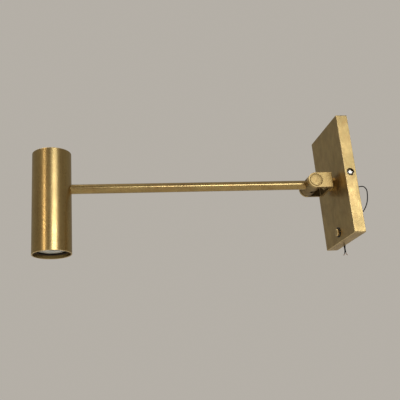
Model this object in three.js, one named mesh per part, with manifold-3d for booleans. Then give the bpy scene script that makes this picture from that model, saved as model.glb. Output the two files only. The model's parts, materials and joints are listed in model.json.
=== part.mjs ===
// Wall-mounted picture light: a slim backplate, a tilting arm and a cylindrical spot head.
//
// Units are millimetres and +Z is up. The wall is the plane Y = 0 and the room is on the -Y side.
// The origin is the centre of the wall face of the bracket inside the backplate.

import * as THREE from "three";
import { mergeVertices } from "three/addons/utils/BufferGeometryUtils.js";
import Module from "manifold-3d";

const wasm = await Module();
wasm.setup();

// ---------------------------------------------------------------- driving dimensions

const INCH = 25.4;
const GAP = 0.3; // clearance between pieces that touch
const RUN = 0.15; // clearance round a shaft or a tube in its hole

// backplate cover, milled from solid brass and open at the back
const PLATE_W = 3 * INCH;
const PLATE_H = 5 * INCH;
const PLATE_D = 12;
const PLATE_WALL = 3.2;
const PLATE_FRONT = 2;
const PLATE_CORNER = 1.2;
const PLATE_EDGE = 0.45;

// bracket on the wall
const STRAP_W = 30;
const STRAP_H = 112;
const STRAP_T = 2;
const BOX_SCREW_SPACING = 83.3;
const SLOT_R = 2.4;
const SLOT_HALF = 3.6;
const LEAD_HOLE_R = 10;
const LEAD_HOLE_Z = -17;
const ARM_H = 18;
const FLANGE_T = 1.8;
const FLANGE_H = 14;

// side screws that hold the cover on the bracket
const SCREW_Y = -PLATE_D / 2;
const SCREW_HEAD_R = 2.5;
const SCREW_SHANK_R = 1.5;
const COUNTERBORE_R = 3.8;
const COUNTERBORE_D = 2;

// neck and clevis
const NECK_R = 7;
const NECK_LENGTH = 4.8;
const NIPPLE_R = 4.8;
const NIPPLE_BORE_R = 3;
const NIPPLE_END_Y = -6.3;
const CLEVIS_HALF_W = 16.5;
const CLEVIS_R = 8.2;
const EAR_T = 3.3;
const WEB_T = 3.2;
const PIVOT_Y = -34.6;

// pivot pins
const PIN_HEAD_R = 6.3;
const PIN_HEAD_T = 1.4;
const PIN_RECESS_R = 6.65;
const PIN_SHOULDER_R = 3;
const PIN_TIP_R = 1.85;
const PIN_TIP_LENGTH = 4.8;
const WASHER_T = 0.55;

// arm
const ARM_R = (0.375 * INCH) / 2;
const ARM_BORE_R = 3.4;
const SOCKET_DEPTH = 4.2;

// head
const HEAD_R = (1.5 * INCH) / 2;
const HEAD_WALL = 1.2;
const HEAD_Y = -303;
const HEAD_TOP = 37.3;
const HEAD_LENGTH = 103;
const HEAD_MOUTH = HEAD_TOP - HEAD_LENGTH;
const CAP_T = 3;

// lamp, measured from the mouth of the head
const LENS_R = 13;
const LENS_RECESS = 2.8;
const BEZEL_RECESS = 4.5;
const LAMP_R = 17.3;
const PIN_SPACING = 4;
const LAMP_PIN_R = 0.5;

// push button
const BUTTON_Z = -53;
const BUTTON_R = 3.9;
const BUTTON_PROUD = 3;
const BUTTON_BORE_R = 4.15;
const BUTTON_SLEEVE_R = 4.75;
const BUTTON_HOLE_R = 5;
const BUTTON_FLANGE_R = 5.35;

// leads
const LEAD_R = 0.55;
const LEAD_OFFSET = 0.75;
const TIP_R = 0.35;

// ---------------------------------------------------------------- worked-out places

const PLATE_FACE = -PLATE_D;
const PLATE_INSIDE = -(PLATE_D - PLATE_FRONT);
const SIDE_X = PLATE_W / 2;
const SIDE_INSIDE_X = SIDE_X - PLATE_WALL;
const FLANGE_X = SIDE_INSIDE_X - GAP;
const CLEVIS_BACK = PLATE_FACE - NECK_LENGTH;
const WEB_FRONT = CLEVIS_BACK - WEB_T;
const EAR_INSIDE = CLEVIS_HALF_W - EAR_T;
const BARREL_HALF_W = EAR_INSIDE - WASHER_T - 2 * 0.2;
const HEAD_BORE_R = HEAD_R - HEAD_WALL;
const HEAD_INSIDE_Y = HEAD_Y + HEAD_BORE_R;

// ---------------------------------------------------------------- finishes

const FINISHES = {
  brass: { color: 0xb08a4a, roughness: 0.32, metalness: 1 },
  rawBrass: { color: 0x9c7d45, roughness: 0.5, metalness: 1 },
  zincSteel: { color: 0xa9a9a2, roughness: 0.45, metalness: 1 },
  nickel: { color: 0xc4c2ba, roughness: 0.3, metalness: 1 },
  blackPlastic: { color: 0x1b1a19, roughness: 0.5, metalness: 0 },
  fibre: { color: 0x6b2f1f, roughness: 0.8, metalness: 0 },
  darkSteel: { color: 0x2f2a26, roughness: 0.5, metalness: 1 },
  ceramic: { color: 0xe9e4d8, roughness: 0.6, metalness: 0 },
  lampMetal: { color: 0x8d8d8b, roughness: 0.4, metalness: 1 },
  mirror: { color: 0xd8d8d6, roughness: 0.12, metalness: 1 },
  lens: { color: 0xdfe6e4, roughness: 0.08, metalness: 0, transparent: true, opacity: 0.35 },
  board: { color: 0xe8e8e2, roughness: 0.5, metalness: 0 },
  phosphor: { color: 0xe6c14d, roughness: 0.5, metalness: 0 },
  leadSleeve: { color: 0x161514, roughness: 0.45, metalness: 0 },
  tinnedCopper: { color: 0x9a8574, roughness: 0.4, metalness: 1 },
};

// ---------------------------------------------------------------- solids

// A closed geometry as a solid, turned the right way out.
function solid(geometry) {
  const bare = geometry.index ? geometry.toNonIndexed() : geometry.clone();
  for (const name of Object.keys(bare.attributes)) {
    if (name !== "position") bare.deleteAttribute(name);
  }
  const merged = mergeVertices(bare, 1e-4);
  const corners = merged.index.array;
  const kept = [];
  for (let i = 0; i < corners.length; i += 3) {
    const [a, b, c] = [corners[i], corners[i + 1], corners[i + 2]];
    if (a !== b && b !== c && c !== a) kept.push(a, b, c);
  }
  if (signedVolume(merged.attributes.position, kept) < 0) kept.reverse();
  return new wasm.Manifold(
    new wasm.Mesh({
      numProp: 3,
      vertProperties: new Float32Array(merged.attributes.position.array),
      triVerts: new Uint32Array(kept),
    }),
  );
}

function signedVolume(position, triangles) {
  const [a, b, c] = [new THREE.Vector3(), new THREE.Vector3(), new THREE.Vector3()];
  let volume = 0;
  for (let i = 0; i < triangles.length; i += 3) {
    a.fromBufferAttribute(position, triangles[i]);
    b.fromBufferAttribute(position, triangles[i + 1]);
    c.fromBufferAttribute(position, triangles[i + 2]);
    volume += a.dot(b.cross(c)) / 6;
  }
  return volume;
}

// A solid back to a three.js geometry with flat faces.
function geometryOf(body) {
  const mesh = body.getMesh();
  const geometry = new THREE.BufferGeometry();
  geometry.setAttribute("position", new THREE.BufferAttribute(mesh.vertProperties, 3));
  geometry.setIndex(new THREE.BufferAttribute(mesh.triVerts, 1));
  const flat = geometry.toNonIndexed();
  flat.computeVertexNormals();
  return flat;
}

// A box between two corners.
function block([x0, y0, z0], [x1, y1, z1]) {
  const box = new THREE.BoxGeometry(x1 - x0, y1 - y0, z1 - z0);
  return solid(box.translate((x0 + x1) / 2, (y0 + y1) / 2, (z0 + z1) / 2));
}

// Turns a geometry made about three.js's own Y axis so that its axis lies along X, Y or Z.
function align(geometry, axis) {
  if (axis === "x") geometry.rotateZ(-Math.PI / 2);
  if (axis === "z") geometry.rotateX(Math.PI / 2);
  return geometry;
}

// A round bar along an axis, from one coordinate on that axis to another; centre gives the other two.
function rod(axis, radius, from, to, centre = [0, 0, 0], sides = 28) {
  const low = Math.min(from, to);
  const high = Math.max(from, to);
  const bar = align(new THREE.CylinderGeometry(radius, radius, high - low, sides), axis);
  const middle = (low + high) / 2;
  const place = { x: [middle, 0, 0], y: [0, middle, 0], z: [0, 0, middle] }[axis];
  return solid(bar.translate(place[0] + centre[0], place[1] + centre[1], place[2] + centre[2]));
}

// A bar with a bore through it: a washer, a sleeve or a tube.
function ring(axis, outer, inner, from, to, centre = [0, 0, 0], sides = 28) {
  const past = 1;
  const bore = rod(axis, inner, Math.min(from, to) - past, Math.max(from, to) + past, centre, sides);
  return rod(axis, outer, from, to, centre, sides).subtract(bore);
}

// A turned piece: profile is a list of [radius, distance along the axis] that starts and ends on the
// axis, or closes on itself.
function turned(axis, profile, centre = [0, 0, 0], sides = 28) {
  const points = profile.map(([radius, along]) => new THREE.Vector2(radius, along));
  const lathe = align(new THREE.LatheGeometry(points, sides), axis);
  return solid(lathe.translate(...centre));
}

// A rectangle with round corners in the X-Z plane, as a shape.
function roundedRectangle(width, height, radius) {
  const x = width / 2;
  const z = height / 2;
  const shape = new THREE.Shape();
  shape.moveTo(-x + radius, -z);
  shape.lineTo(x - radius, -z);
  shape.absarc(x - radius, -z + radius, radius, -Math.PI / 2, 0);
  shape.lineTo(x, z - radius);
  shape.absarc(x - radius, z - radius, radius, 0, Math.PI / 2);
  shape.lineTo(-x + radius, z);
  shape.absarc(-x + radius, z - radius, radius, Math.PI / 2, Math.PI);
  shape.lineTo(-x, -z + radius);
  shape.absarc(-x + radius, -z + radius, radius, Math.PI, 1.5 * Math.PI);
  return shape;
}

// A shape of the X-Z plane pushed along Y from `back` towards the room by `depth`.
function slab(shape, back, depth, edge = 0) {
  const geometry = new THREE.ExtrudeGeometry(shape, {
    depth: depth - 2 * edge,
    bevelEnabled: edge > 0,
    bevelThickness: edge,
    bevelSize: edge,
    bevelOffset: -edge,
    bevelSegments: 2,
    curveSegments: 6,
  });
  return solid(geometry.translate(0, 0, edge).rotateX(Math.PI / 2).translate(0, back, 0));
}

// A round lead swept through a list of points. A full-circle arc takes two sides per curve segment.
function sweep(points, radius, steps, sides = 8) {
  const section = new THREE.Shape();
  section.absarc(0, 0, radius, 0, 2 * Math.PI);
  const path = new THREE.CatmullRomCurve3(points.map((p) => new THREE.Vector3(...p)));
  return solid(
    new THREE.ExtrudeGeometry(section, {
      steps,
      extrudePath: path,
      curveSegments: sides / 2,
    }),
  );
}

// A six-sided nut; across is the width across its flats.
function nut(axis, across, bore, from, to, centre = [0, 0, 0]) {
  const past = 1;
  const body = rod(axis, across / Math.sqrt(3), from, to, centre, 6);
  return body.subtract(rod(axis, bore, Math.min(from, to) - past, Math.max(from, to) + past, centre));
}

// ---------------------------------------------------------------- the assembly

const light = new THREE.Group();

function add(name, body, finish) {
  const material = new THREE.MeshStandardMaterial(FINISHES[finish]);
  const mesh = new THREE.Mesh(geometryOf(body), material);
  mesh.name = name;
  light.add(mesh);
}

// ---------------------------------------------------------------- wall bracket

// A cross-shaped steel strap. Its side flanges take the cover's two screws.
function wallBracket() {
  const over = 5;
  let strap = slab(roundedRectangle(STRAP_W, STRAP_H, 6), 0, STRAP_T);
  strap = strap.add(block([-FLANGE_X, -STRAP_T, -ARM_H / 2], [FLANGE_X, 0, ARM_H / 2]));
  const flangeFront = PLATE_INSIDE + 2 * GAP;
  for (const side of [-1, 1]) {
    const edges = [side * FLANGE_X, side * (FLANGE_X - FLANGE_T)].sort((a, b) => a - b);
    const flange = block([edges[0], flangeFront, -FLANGE_H / 2], [edges[1], 0, FLANGE_H / 2]);
    strap = strap.add(flange);
    const slotZ = (side * BOX_SCREW_SPACING) / 2;
    const slot = block([-SLOT_HALF, -over, slotZ - SLOT_R], [SLOT_HALF, over, slotZ + SLOT_R]);
    strap = strap.subtract(slot);
    for (const end of [-SLOT_HALF, SLOT_HALF]) {
      strap = strap.subtract(rod("y", SLOT_R, -over, over, [end, 0, slotZ], 24));
    }
  }
  strap = strap.subtract(rod("x", SCREW_SHANK_R + 2 * RUN, -SIDE_X, SIDE_X, [0, SCREW_Y, 0], 24));
  return strap.subtract(rod("y", LEAD_HOLE_R, -over, over, [0, 0, LEAD_HOLE_Z], 40));
}

add("wall_bracket", wallBracket(), "zincSteel");

// ---------------------------------------------------------------- backplate cover

function backplateCover() {
  const over = 4;
  const outline = roundedRectangle(PLATE_W, PLATE_H, PLATE_CORNER);
  let cover = slab(outline, over, PLATE_D + over, PLATE_EDGE);
  cover = cover.subtract(block([-PLATE_W, 0, -PLATE_H], [PLATE_W, 2 * over, PLATE_H]));
  const pocket = roundedRectangle(PLATE_W - 2 * PLATE_WALL, PLATE_H - 2 * PLATE_WALL, 2);
  cover = cover.subtract(slab(pocket, over, over - PLATE_INSIDE));
  cover = cover.subtract(rod("y", NIPPLE_R + 2 * RUN, PLATE_FACE - over, 0, [0, 0, 0]));
  cover = cover.subtract(rod("y", BUTTON_HOLE_R, PLATE_FACE - over, 0, [0, 0, BUTTON_Z]));
  for (const side of [-1, 1]) {
    const past = side * (SIDE_X + over);
    const floor = side * (SIDE_X - COUNTERBORE_D);
    cover = cover.subtract(rod("x", COUNTERBORE_R, floor, past, [0, SCREW_Y, 0]));
    const inside = side * (SIDE_INSIDE_X - over);
    cover = cover.subtract(rod("x", SCREW_SHANK_R + 2 * RUN, inside, past, [0, SCREW_Y, 0], 24));
  }
  return cover;
}

add("backplate_cover", backplateCover(), "brass");

// A slotted pan-head screw that holds one side of the cover.
function coverScrew(side) {
  const headFloor = SIDE_X - COUNTERBORE_D + GAP / 2;
  const headTop = headFloor + 1.3;
  const tip = FLANGE_X - FLANGE_T - 1.5;
  const profile = [
    [0, tip],
    [SCREW_SHANK_R, tip],
    [SCREW_SHANK_R, headFloor],
    [SCREW_HEAD_R, headFloor],
    [SCREW_HEAD_R, headTop - 0.35],
    [SCREW_HEAD_R - 0.5, headTop],
    [0, headTop],
  ];
  const slotDepth = 0.7;
  const slotHalf = 0.35;
  const slot = block([headTop - slotDepth, -4, -slotHalf], [headTop + 1, 4, slotHalf]);
  const screw = turned("x", profile, [0, 0, 0], 24).subtract(slot);
  return side > 0
    ? screw.translate([0, SCREW_Y, 0])
    : screw.rotate([0, 0, 180]).translate([0, SCREW_Y, 0]);
}

add("cover_screw_right", coverScrew(1), "nickel");
add("cover_screw_left", coverScrew(-1), "nickel");

// ---------------------------------------------------------------- push-button switch

const BUTTON_AT = [0, 0, BUTTON_Z];
const SLEEVE_END_Y = PLATE_INSIDE + 2.1;
const SWITCH_FRONT_Y = SLEEVE_END_Y + GAP;
const SWITCH_BACK_Y = -STRAP_T - 0.5;
const STEM_R = 1.5;

function switchBezel() {
  const flange = ring("y", BUTTON_FLANGE_R, BUTTON_BORE_R, PLATE_FACE - 0.7, PLATE_FACE - RUN, BUTTON_AT);
  return flange.add(ring("y", BUTTON_SLEEVE_R, BUTTON_BORE_R, PLATE_FACE - 0.7, SLEEVE_END_Y, BUTTON_AT));
}

function switchBody() {
  const half = 5.5;
  const box = block(
    [-half, SWITCH_FRONT_Y, BUTTON_Z - half],
    [half, SWITCH_BACK_Y, BUTTON_Z + half],
  );
  const well = rod("y", STEM_R + 0.4, SWITCH_FRONT_Y - 1, SWITCH_FRONT_Y + 2, BUTTON_AT, 24);
  return box.subtract(well);
}

function buttonCap() {
  const front = PLATE_FACE - BUTTON_PROUD;
  const shoulder = PLATE_INSIDE - 0.6;
  const profile = [
    [0, SWITCH_FRONT_Y - 0.2],
    [STEM_R, SWITCH_FRONT_Y - 0.2],
    [STEM_R, shoulder],
    [BUTTON_R, shoulder],
    [BUTTON_R, front + 0.3],
    [BUTTON_R - 0.3, front],
    [0, front],
  ];
  return turned("y", profile, BUTTON_AT, 32);
}

add("switch_bezel", switchBezel(), "blackPlastic");
add("switch_nut", nut("y", 12, BUTTON_SLEEVE_R + RUN, PLATE_INSIDE + GAP, SLEEVE_END_Y, BUTTON_AT), "nickel");
add("switch_body", switchBody(), "blackPlastic");
add("button_cap", buttonCap(), "brass");

// ---------------------------------------------------------------- neck

// The neck turns in the cover: collar in front, washer and thin nut behind.
const NECK_WASHER_FRONT = PLATE_INSIDE + 0.2;
const NECK_NUT_FRONT = NECK_WASHER_FRONT + 0.8;
const NECK_NUT_T = 2.4;

add(
  "neck_collar",
  ring("y", NECK_R, NIPPLE_R + RUN, CLEVIS_BACK + GAP / 2, PLATE_FACE - RUN),
  "brass",
);
add("neck_nipple", ring("y", NIPPLE_R, NIPPLE_BORE_R, WEB_FRONT, NIPPLE_END_Y), "rawBrass");
add(
  "neck_washer",
  ring("y", NECK_R, NIPPLE_R + RUN, NECK_WASHER_FRONT, NECK_WASHER_FRONT + 0.6),
  "zincSteel",
);
add(
  "neck_nut",
  nut("y", 14, NIPPLE_R + RUN, NECK_NUT_FRONT, NECK_NUT_FRONT + NECK_NUT_T),
  "rawBrass",
);

// ---------------------------------------------------------------- clevis

const PIVOT_AT = [0, PIVOT_Y, 0];

// A square block with a round nose, opened between two ears. Each ear is recessed for a pin head.
function clevisBracket() {
  const w = CLEVIS_HALF_W;
  const over = 5;
  let clevis = block([-w, PIVOT_Y, -CLEVIS_R], [w, CLEVIS_BACK, CLEVIS_R]);
  clevis = clevis.add(rod("x", CLEVIS_R, -w, w, PIVOT_AT, 48));
  clevis = clevis.subtract(
    block([-EAR_INSIDE, PIVOT_Y - CLEVIS_R - over, -2 * CLEVIS_R], [EAR_INSIDE, WEB_FRONT, 2 * CLEVIS_R]),
  );
  clevis = clevis.subtract(rod("x", PIN_SHOULDER_R + 2 * RUN, -w - over, w + over, PIVOT_AT));
  for (const side of [-1, 1]) {
    const floor = side * (w - PIN_HEAD_T);
    clevis = clevis.subtract(rod("x", PIN_RECESS_R, floor, side * (w + over), PIVOT_AT, 40));
  }
  return clevis.subtract(rod("y", NIPPLE_R + RUN, WEB_FRONT - over, 0));
}

add("clevis_bracket", clevisBracket(), "brass");

// ---------------------------------------------------------------- knuckle

// The barrel on the arm's end. A slot behind the pivot lets the leads swing as the arm tilts.
function knuckleBarrel() {
  const slotHalf = 2.2;
  const nose = PIVOT_Y - CLEVIS_R;
  let barrel = rod("x", CLEVIS_R, -BARREL_HALF_W, BARREL_HALF_W, PIVOT_AT, 48);
  barrel = barrel.subtract(rod("y", ARM_R + RUN, nose - 5, nose + SOCKET_DEPTH));
  barrel = barrel.subtract(rod("y", slotHalf, nose, PIVOT_Y));
  barrel = barrel.subtract(
    block([-slotHalf, PIVOT_Y - 1.8, -2 * CLEVIS_R], [slotHalf, PIVOT_Y + 2 * CLEVIS_R, 2 * CLEVIS_R]),
  );
  for (const side of [-1, 1]) {
    const bottom = side * (BARREL_HALF_W - PIN_TIP_LENGTH - 0.4);
    const mouth = side * (BARREL_HALF_W + 1);
    barrel = barrel.subtract(rod("x", PIN_TIP_R + RUN, bottom, mouth, PIVOT_AT, 24));
  }
  return barrel;
}

// A headed pin through one ear; its tip is threaded into the barrel, so it turns with the arm.
function pivotPin(side, slotted) {
  const floor = CLEVIS_HALF_W - PIN_HEAD_T + RUN;
  const top = CLEVIS_HALF_W + 0.35;
  const shoulder = BARREL_HALF_W + RUN;
  const profile = [
    [0, BARREL_HALF_W - PIN_TIP_LENGTH],
    [PIN_TIP_R, BARREL_HALF_W - PIN_TIP_LENGTH],
    [PIN_TIP_R, shoulder],
    [PIN_SHOULDER_R, shoulder],
    [PIN_SHOULDER_R, floor],
    [PIN_HEAD_R, floor],
    [PIN_HEAD_R, CLEVIS_HALF_W - 0.1],
    [PIN_HEAD_R - 0.8, CLEVIS_HALF_W + 0.15],
    [0, top],
  ];
  let pin = turned("x", profile, [0, 0, 0], 32);
  if (slotted) {
    pin = pin.subtract(block([top - 1, -PIN_HEAD_R - 1, -0.6], [top + 1, PIN_HEAD_R + 1, 0.6]));
  }
  if (side < 0) pin = pin.rotate([0, 0, 180]);
  return pin.translate(PIVOT_AT);
}

add("knuckle_barrel", knuckleBarrel(), "brass");
add("pivot_pin_right", pivotPin(1, false), "brass");
add("pivot_screw_left", pivotPin(-1, true), "brass");
for (const [name, side] of [["friction_washer_right", 1], ["friction_washer_left", -1]]) {
  const inner = side * (BARREL_HALF_W + 0.2);
  const outer = side * (EAR_INSIDE - 0.2);
  add(name, ring("x", CLEVIS_R - 1, PIN_SHOULDER_R + RUN, inner, outer, PIVOT_AT), "fibre");
}

// ---------------------------------------------------------------- arm

// Inside the head the tube passes a saddle washer, the holder's bracket and a lock nut.
const TAB_BACK = HEAD_INSIDE_Y - 2.6;
const TAB_T = 1.2;
const LOCK_NUT_T = 3;
const ARM_START_Y = PIVOT_Y - CLEVIS_R + SOCKET_DEPTH - GAP;
const ARM_END_Y = TAB_BACK - TAB_T - LOCK_NUT_T - 1;

add("arm_tube", ring("y", ARM_R, ARM_BORE_R, ARM_START_Y, ARM_END_Y, [0, 0, 0], 40), "brass");

// ---------------------------------------------------------------- head

const HEAD_AT = [0, HEAD_Y, 0];

function headTube() {
  const tube = ring("z", HEAD_R, HEAD_BORE_R, HEAD_MOUTH, HEAD_TOP, HEAD_AT, 64);
  return tube.subtract(rod("y", ARM_R + RUN, HEAD_Y, HEAD_Y + 2 * HEAD_R));
}

function headCap() {
  const chamfer = 0.4;
  const radius = HEAD_BORE_R - RUN;
  const profile = [
    [0, HEAD_TOP - CAP_T],
    [radius, HEAD_TOP - CAP_T],
    [radius, HEAD_TOP - chamfer],
    [radius - chamfer, HEAD_TOP],
    [0, HEAD_TOP],
  ];
  return upright(profile, 48);
}

// A piece turned about the head's axis; heights are along +Z.
function upright(profile, sides = 32) {
  return turned("z", profile, HEAD_AT, sides);
}

function saddleWasher() {
  const half = 6.5;
  const saddle = block([-half, TAB_BACK + GAP / 2, -half], [half, HEAD_INSIDE_Y + 1, half]);
  const curved = saddle.intersect(rod("z", HEAD_BORE_R - 0.2, -2 * half, 2 * half, HEAD_AT, 64));
  return curved.subtract(rod("y", ARM_R + RUN, HEAD_Y, 0));
}

add("head_tube", headTube(), "brass");
add("head_top_cap", headCap(), "brass");
add("arm_saddle_washer", saddleWasher(), "zincSteel");
add(
  "arm_lock_nut",
  nut("y", 14, ARM_R + RUN, TAB_BACK - TAB_T - GAP / 2, TAB_BACK - TAB_T - LOCK_NUT_T),
  "rawBrass",
);

// ---------------------------------------------------------------- lamp holder

const HOLDER_HALF_X = 8.5;
const HOLDER_HALF_Y = 5.5;
const HOLDER_TOP = -14.3;
const HOLDER_BOTTOM = -27.6;
const HOLDER_SCREW_X = 4.2;
const BRACKET_HALF_W = 6.3;
const BRACKET_LEG_TOP = HOLDER_TOP + TAB_T + GAP;

// An angle clamped by the arm's lock nut; its level leg carries the lamp holder.
function holderBracket() {
  const tabFront = TAB_BACK - TAB_T;
  const legBottom = BRACKET_LEG_TOP - TAB_T;
  const legEnd = HEAD_Y - HOLDER_HALF_Y;
  let angle = block([-BRACKET_HALF_W, tabFront, legBottom], [BRACKET_HALF_W, TAB_BACK, 8]);
  angle = angle.add(block([-BRACKET_HALF_W, legEnd, legBottom], [BRACKET_HALF_W, TAB_BACK, BRACKET_LEG_TOP]));
  angle = angle.subtract(rod("y", ARM_R + RUN, HEAD_Y, 0));
  for (const x of [-HOLDER_SCREW_X, HOLDER_SCREW_X]) {
    angle = angle.subtract(rod("z", 1.2, -20, 0, [x, HEAD_Y, 0], 20));
  }
  return angle;
}

function lampHolder() {
  let body = block(
    [-HOLDER_HALF_X, HEAD_Y - HOLDER_HALF_Y, HOLDER_BOTTOM],
    [HOLDER_HALF_X, HEAD_Y + HOLDER_HALF_Y, HOLDER_TOP],
  );
  for (const x of [-PIN_SPACING / 2, PIN_SPACING / 2]) {
    body = body.subtract(rod("z", LAMP_PIN_R + 0.2, HOLDER_BOTTOM - 1, HOLDER_BOTTOM + 6.5, [x, HEAD_Y, 0], 16));
  }
  for (const x of [-HOLDER_SCREW_X, HOLDER_SCREW_X]) {
    body = body.subtract(rod("z", 1.2, HOLDER_TOP - 6, HOLDER_TOP + 1, [x, HEAD_Y, 0], 20));
  }
  return body;
}

function holderScrew(x) {
  const seat = BRACKET_LEG_TOP + GAP / 2;
  const profile = [
    [0, HOLDER_TOP - 5],
    [1, HOLDER_TOP - 5],
    [1, seat],
    [1.9, seat],
    [1.9, seat + 0.8],
    [1.4, seat + 1.3],
    [0, seat + 1.3],
  ];
  return turned("z", profile, [x, HEAD_Y, 0], 20);
}

add("holder_bracket", holderBracket(), "zincSteel");
add("lamp_holder", lampHolder(), "ceramic");
add("holder_screw_right", holderScrew(HOLDER_SCREW_X), "nickel");
add("holder_screw_left", holderScrew(-HOLDER_SCREW_X), "nickel");

// ---------------------------------------------------------------- lamp

// A 35 mm plug-in reflector lamp with its front lens just inside the mouth.
const BEZEL_FACE = HEAD_MOUTH + BEZEL_RECESS;
const BEZEL_T = 1.6;
const LENS_FACE = HEAD_MOUTH + LENS_RECESS;
const HOUSING_RIM = BEZEL_FACE + BEZEL_T + 0.2;
const LED_Z = HOUSING_RIM + 8;
const LAMP_TOP = -33;
const BASE_TOP = -28;

function lampLens() {
  const rise = 1.3;
  const domeSteps = 4;
  const profile = [[0, LENS_FACE]];
  for (let i = 1; i <= domeSteps; i += 1) {
    const t = i / domeSteps;
    profile.push([LENS_R * t, LENS_FACE + rise * t * t]);
  }
  profile.push([LENS_R, HOUSING_RIM - 0.2], [0, HOUSING_RIM - 0.2]);
  return upright(profile);
}

function lampReflector() {
  const wall = 0.5;
  const wide = LENS_R - 0.2;
  const narrow = 4;
  return upright([
    [wide, HOUSING_RIM],
    [narrow, LED_Z - 0.4],
    [narrow - wall, LED_Z - 0.4],
    [wide - wall - 0.4, HOUSING_RIM],
    [wide, HOUSING_RIM],
  ]);
}

function lampHousing() {
  const cavity = LENS_R + 0.3;
  const neck = 9;
  return upright([
    [LAMP_R, HOUSING_RIM],
    [LAMP_R, HOUSING_RIM + 2.6],
    [neck, LAMP_TOP - 5],
    [neck, LAMP_TOP],
    [0, LAMP_TOP],
    [0, LED_Z + 1.3],
    [neck - 0.2, LED_Z + 1.3],
    [neck - 0.2, LED_Z - 1],
    [cavity, HOUSING_RIM],
    [LAMP_R, HOUSING_RIM],
  ]);
}

function lampBase() {
  let base = upright([
    [0, LAMP_TOP + 0.2],
    [5.5, LAMP_TOP + 0.2],
    [5.5, BASE_TOP],
    [0, BASE_TOP],
  ], 24);
  for (const x of [-PIN_SPACING / 2, PIN_SPACING / 2]) {
    base = base.subtract(rod("z", LAMP_PIN_R + 0.15, BASE_TOP - 3, BASE_TOP + 1, [x, HEAD_Y, 0], 16));
  }
  return base;
}

function lampPin(x) {
  return rod("z", LAMP_PIN_R, BASE_TOP - 2.7, BASE_TOP + 5.5, [x, HEAD_Y, 0], 12);
}

add("retaining_ring", ring("z", HEAD_BORE_R - 0.2, 15.6, BEZEL_FACE - 1.2, BEZEL_FACE - 0.2, HEAD_AT, 48), "darkSteel");
add("lamp_bezel", ring("z", LAMP_R, LENS_R + 0.3, BEZEL_FACE, BEZEL_FACE + BEZEL_T, HEAD_AT, 48), "darkSteel");
add("lamp_lens", lampLens(), "lens");
add("lamp_reflector", lampReflector(), "mirror");
add("lamp_housing", lampHousing(), "lampMetal");
add("led_board", rod("z", 8.5, LED_Z, LED_Z + 1, HEAD_AT, 32), "board");
add("led_chip", rod("z", 2, LED_Z - 0.8, LED_Z - 0.2, HEAD_AT, 20), "phosphor");
add("lamp_base", lampBase(), "ceramic");
add("lamp_pin_right", lampPin(PIN_SPACING / 2), "nickel");
add("lamp_pin_left", lampPin(-PIN_SPACING / 2), "nickel");

// ---------------------------------------------------------------- leads inside the arm and the neck

// From the lamp holder over its bracket, through the arm tube, to just short of the pivot.
function armLead(side) {
  const x = side * LEAD_OFFSET;
  const bends = [
    [side * 7.4, HEAD_Y, HOLDER_TOP + GAP],
    [side * 7.4, HEAD_Y, -11],
    [side * 7.3, HEAD_Y, -6],
    [side * 6.4, HEAD_Y + 1.6, -0.6],
    [side * 4, HEAD_Y + 4.6, 2],
    [side * 1.6, HEAD_Y + 8, 1.2],
    [x, HEAD_Y + 11.5, 0.1],
  ];
  const straight = [-285, -240, -190, -140, -90, -45, PIVOT_Y - 0.8].map((y) => [x, y, 0]);
  return sweep([...bends, ...straight], LEAD_R, 60, 6);
}

// Straight through the barrel's slot and the hollow nipple.
function neckLead(side) {
  return rod("y", LEAD_R, PIVOT_Y + 0.8, NIPPLE_END_Y + GAP, [side * LEAD_OFFSET, 0, 0], 8);
}

add("arm_lead_neutral", armLead(1), "leadSleeve");
add("arm_lead_line", armLead(-1), "leadSleeve");
add("neck_lead_neutral", neckLead(1), "leadSleeve");
add("neck_lead_line", neckLead(-1), "leadSleeve");

// ---------------------------------------------------------------- leads behind the backplate

const LEAD_START_Y = NIPPLE_END_Y + 2 * GAP;
const BEND_R = 2.6;

// The quarter turn with which both leads leave the nipple, from +Y down to -Z.
function turnDown(x) {
  return [0, 30, 60, 90].map((degrees) => {
    const angle = THREE.MathUtils.degToRad(degrees);
    return [x, LEAD_START_Y + BEND_R * Math.sin(angle), -BEND_R * (1 - Math.cos(angle))];
  });
}

// Out through the bracket's hole, round in a loose loop, and down behind the lower rim.
const NEUTRAL_ROUTE = [
  ...turnDown(LEAD_OFFSET),
  [0.9, -2.9, -5.2],
  [1.5, -2.0, -8.4],
  [2.8, 0.6, -10.7],
  [5.0, 5.0, -10.9],
  [7.6, 10.4, -8.3],
  [9.3, 15.2, -6.2],
  [10.1, 19.3, -6.6],
  [10.4, 21.8, -9.8],
  [10.3, 22.0, -15.4],
  [10.0, 20.2, -24.2],
  [9.4, 15.8, -32.2],
  [7.4, 9.6, -38.6],
  [3.4, 4.6, -44.6],
  [-3.0, 2.2, -51.0],
  [-10.0, 1.4, -56.6],
  [-15.6, 1.15, -60.4],
  [-18.6, 1.0, -63.6],
  [-19.3, 0.95, -67.2],
  [-18.8, 0.95, -70.2],
];

// From the nipple to the switch, inside the cover.
const SWITCH_ROUTE = [
  ...turnDown(-LEAD_OFFSET),
  [-1.3, -3.0, -6],
  [-0.9, -3.6, -10.5],
  [2.4, -4.6, -16],
  [7.4, -5.2, -22],
  [11.8, -5.5, -30],
  [13.4, -5.5, -39],
  [12.2, -5.3, -47],
  [9.6, -5.0, -51.8],
  [5.8, -5.0, -53],
];

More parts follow.
